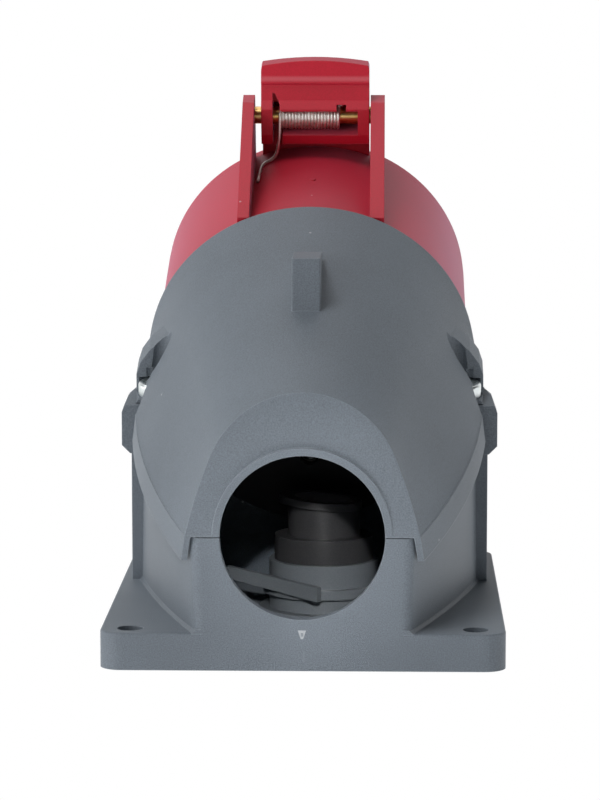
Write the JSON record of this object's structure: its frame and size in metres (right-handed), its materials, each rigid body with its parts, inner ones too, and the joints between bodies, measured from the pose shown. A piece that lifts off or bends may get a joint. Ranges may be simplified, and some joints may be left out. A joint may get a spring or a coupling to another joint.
{
  "type": "industrial wall socket",
  "caption": "Sloping grey wall-mounted power socket with a round cable entry at its low end and a red collar closed by a sprung, hinged lid.",
  "frame": {"origin": "centre of the wall plate's fixing holes, on the wall plane", "axes": "+Z out of the wall, +X across the plate, +Y from the cable entry towards the plug side"},
  "size_m": [0.1, 0.1638, 0.1473],
  "materials": {
    "housing_grey": "matt moulded thermoplastic",
    "signal_red": "satin moulded thermoplastic",
    "zinc_plate": "zinc-plated steel",
    "spring_steel": "bright spring wire",
    "pin_brass": "drawn brass",
    "contact_brass": "turned brass",
    "seal_rubber": "soft black rubber",
    "core_grey": "matt heat-resistant plastic",
    "core_black": "matt black plastic",
    "bush_grey": "matt moulded thermoplastic"
  },
  "bodies": {
    "housing": {"base": "housing_grey", "clamp_screw_earth": "zinc_plate", "clamp_screw_line_one": "zinc_plate", "clamp_screw_line_three": "zinc_plate", "clamp_screw_line_two": "zinc_plate", "clamp_screw_neutral": "zinc_plate", "collar": "signal_red", "collar_seal": "seal_rubber", "contact_carrier": "core_grey", "cover": "housing_grey", "cover_screw_left": "zinc_plate", "cover_screw_right": "zinc_plate", "hinge_pin": "pin_brass", "holding_plate": "core_black", "holding_screw": "zinc_plate", "housing_seal_left": "seal_rubber", "housing_seal_right": "seal_rubber", "lid_spring": "spring_steel", "rear_entry_bush": "bush_grey", "rear_entry_grommet": "seal_rubber", "sleeve_earth": "contact_brass", "sleeve_line_one": "contact_brass", "sleeve_line_three": "contact_brass", "sleeve_line_two": "contact_brass", "sleeve_neutral": "contact_brass"},
    "lid": {"lid": "signal_red", "lid_seal": "seal_rubber"}
  },
  "joints": [
    {"name": "lid_hinge", "type": "hinge", "parent": "housing", "child": "lid", "pos_m": [0, 0.06534, 0.13114], "axis": [1, 0, 0], "range_deg": [0, 120], "stiffness_Nm_per_rad": 0.035, "springref_deg": -80.21, "deforming": ["lid_spring"]}
  ]
}
